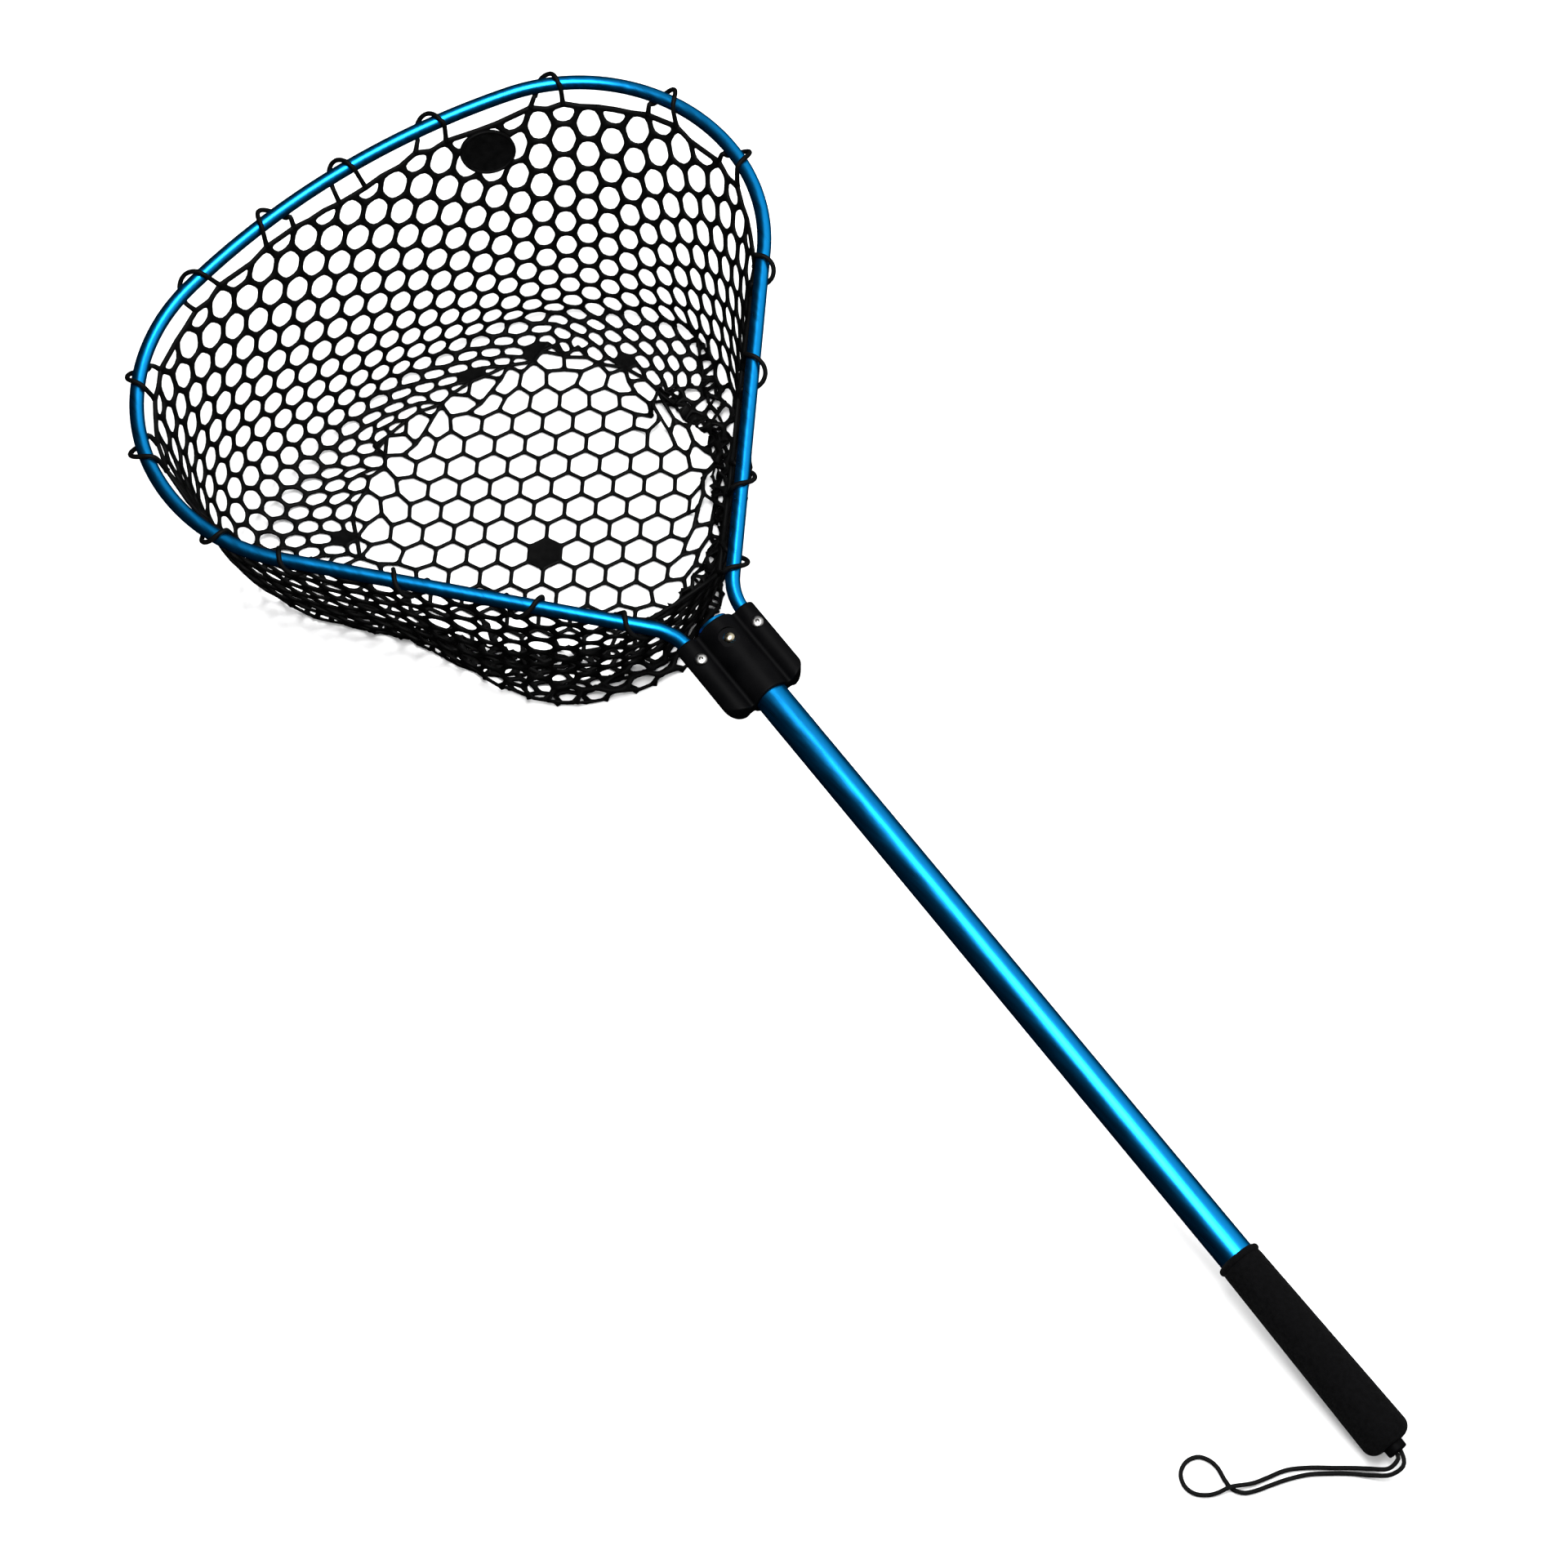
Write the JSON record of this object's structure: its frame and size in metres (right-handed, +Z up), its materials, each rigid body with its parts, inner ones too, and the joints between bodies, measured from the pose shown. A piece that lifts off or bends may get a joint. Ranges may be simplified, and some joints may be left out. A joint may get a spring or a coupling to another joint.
{
  "type": "landing net",
  "caption": "Hand landing net: soft rubber mesh bag on a bent tube hoop, with a handle that locks with a snap button and slides through the moulded yoke.",
  "frame": {"origin": "centre of the underside of the bag's round floor panel, where the net rests on a flat surface", "axes": "+X from the hoop's far side towards the butt of the grip, +Y across the hoop, +Z up; the hoop and handle lie in one plane that falls 9.5 degrees towards the butt"},
  "size_m": [1.2445, 0.5293, 0.2293],
  "materials": {
    "anodised_blue": "satin",
    "black_plastic": "satin",
    "foam_grip": "matte",
    "net_rubber": "satin",
    "rivet_steel": "polished",
    "button_brass": "polished",
    "spring_steel": "satin",
    "lanyard_nylon": "matte"
  },
  "bodies": {
    "net_head": {"hoop_tube": "anodised_blue", "yoke": "black_plastic", "rivet_left": "rivet_steel", "rivet_right": "rivet_steel", "rivet_mandrel_left": "rivet_steel", "rivet_mandrel_right": "rivet_steel", "net_wall": "net_rubber", "net_bottom": "net_rubber", "net_badge": "net_rubber", "net_loop_01": "net_rubber", "net_loop_02": "net_rubber", "net_loop_03": "net_rubber", "net_loop_04": "net_rubber", "net_loop_05": "net_rubber", "net_loop_06": "net_rubber", "net_loop_07": "net_rubber", "net_loop_08": "net_rubber", "net_loop_09": "net_rubber", "net_loop_10": "net_rubber", "net_loop_11": "net_rubber", "net_loop_12": "net_rubber", "net_loop_13": "net_rubber", "net_loop_14": "net_rubber", "net_loop_15": "net_rubber", "net_loop_16": "net_rubber", "net_loop_17": "net_rubber", "net_loop_18": "net_rubber"},
    "handle": {"handle_tube": "anodised_blue", "handle_front_plug": "black_plastic", "grip": "foam_grip", "butt_cap": "black_plastic", "snap_button_spring": "spring_steel", "lanyard_cord": "lanyard_nylon", "lanyard_knot": "lanyard_nylon"},
    "button": {"snap_button": "button_brass"}
  },
  "joints": [
    {"name": "handle_slide", "type": "slide", "parent": "net_head", "child": "handle", "axis": [-0.9863, 0, 0.165], "range_m": [0, 0.46]},
    {"name": "button_press", "type": "slide", "parent": "handle", "child": "button", "axis": [-0.165, 0, -0.9863], "range_m": [0, 0.0038], "stiffness_N_per_m": 600, "springref_m": -0.0008, "deforming": ["snap_button_spring"]}
  ]
}
